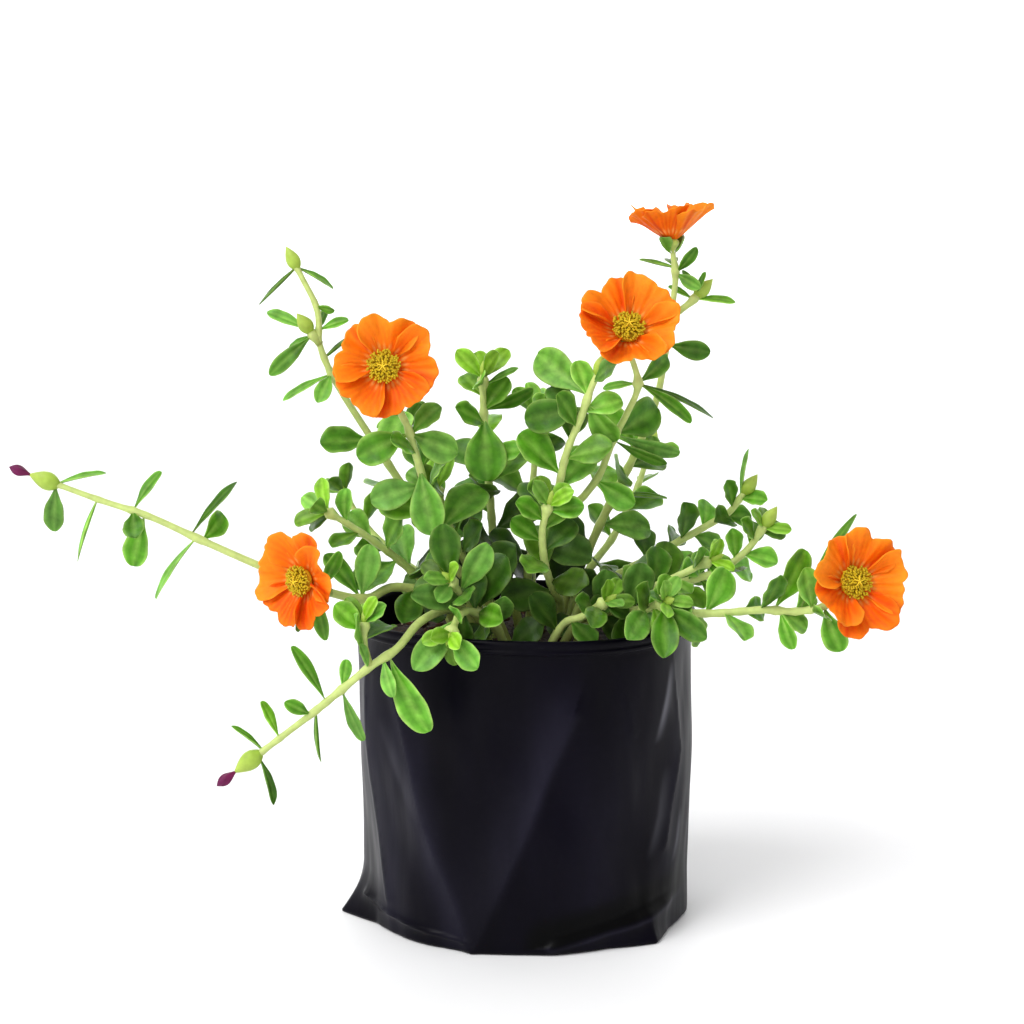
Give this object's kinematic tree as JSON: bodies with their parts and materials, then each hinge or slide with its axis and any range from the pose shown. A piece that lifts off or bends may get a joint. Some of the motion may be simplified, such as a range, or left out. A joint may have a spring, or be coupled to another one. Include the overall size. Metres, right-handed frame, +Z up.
{
  "type": "potted portulaca",
  "caption": "Flowering portulaca with trailing and upright leafy stems, orange cupped blooms and buds, in a soft black film grow bag of potting mix.",
  "frame": {"origin": "middle of the bag's flat base, on the surface that it stands on", "axes": "+Z up, -Y towards the viewer's side, +X to the right as seen from there"},
  "size_m": [0.2826, 0.1678, 0.2335],
  "materials": {
    "back_centre_stem": "satin fleshy green",
    "back_left_stem": "satin fleshy green",
    "back_right_stem": "satin fleshy green",
    "back_trailing_stem": "satin fleshy green",
    "bag": "satin black film",
    "centre_front_stem": "satin fleshy green",
    "centre_left_stem": "satin fleshy green",
    "centre_stem": "satin fleshy green",
    "far_left_spent": "matt magenta",
    "far_left_stem": "satin fleshy green",
    "front_left_stem": "satin fleshy green",
    "front_mid_stem": "satin fleshy green",
    "left_back_stem": "satin fleshy green",
    "left_flower_petals": "soft satin orange petals",
    "left_flower_stamens": "matt olive gold",
    "left_mid_stem": "satin fleshy green",
    "left_top_flower_petals": "soft satin orange petals",
    "left_top_flower_stamens": "matt olive gold",
    "left_top_flower_stem": "satin fleshy green",
    "lower_left_spent": "matt magenta",
    "lower_left_stem": "satin fleshy green",
    "mid_flower_petals": "soft satin orange petals",
    "mid_flower_stamens": "matt olive gold",
    "right_flower_petals": "soft satin orange petals",
    "right_flower_stamens": "matt olive gold",
    "right_flower_stem": "satin fleshy green",
    "right_lower_stem": "satin fleshy green",
    "right_middle_stem": "satin fleshy green",
    "right_of_centre_stem": "satin fleshy green",
    "right_upper_stem": "satin fleshy green",
    "soil": "rough dark potting mix",
    "top_flower_petals": "soft satin orange petals",
    "top_flower_stamens": "matt olive gold",
    "top_flower_stem": "satin fleshy green",
    "upper_left_stem": "satin fleshy green"
  },
  "bodies": {
    "root": {"back_centre_stem": "back_centre_stem", "back_left_stem": "back_left_stem", "back_right_stem": "back_right_stem", "back_trailing_stem": "back_trailing_stem", "bag": "bag", "centre_front_stem": "centre_front_stem", "centre_left_stem": "centre_left_stem", "centre_stem": "centre_stem", "far_left_spent": "far_left_spent", "far_left_stem": "far_left_stem", "front_left_stem": "front_left_stem", "front_mid_stem": "front_mid_stem", "left_back_stem": "left_back_stem", "left_flower_petals": "left_flower_petals", "left_flower_stamens": "left_flower_stamens", "left_mid_stem": "left_mid_stem", "left_top_flower_petals": "left_top_flower_petals", "left_top_flower_stamens": "left_top_flower_stamens", "left_top_flower_stem": "left_top_flower_stem", "lower_left_spent": "lower_left_spent", "lower_left_stem": "lower_left_stem", "mid_flower_petals": "mid_flower_petals", "mid_flower_stamens": "mid_flower_stamens", "right_flower_petals": "right_flower_petals", "right_flower_stamens": "right_flower_stamens", "right_flower_stem": "right_flower_stem", "right_lower_stem": "right_lower_stem", "right_middle_stem": "right_middle_stem", "right_of_centre_stem": "right_of_centre_stem", "right_upper_stem": "right_upper_stem", "soil": "soil", "top_flower_petals": "top_flower_petals", "top_flower_stamens": "top_flower_stamens", "top_flower_stem": "top_flower_stem", "upper_left_stem": "upper_left_stem"}
  },
  "joints": []
}
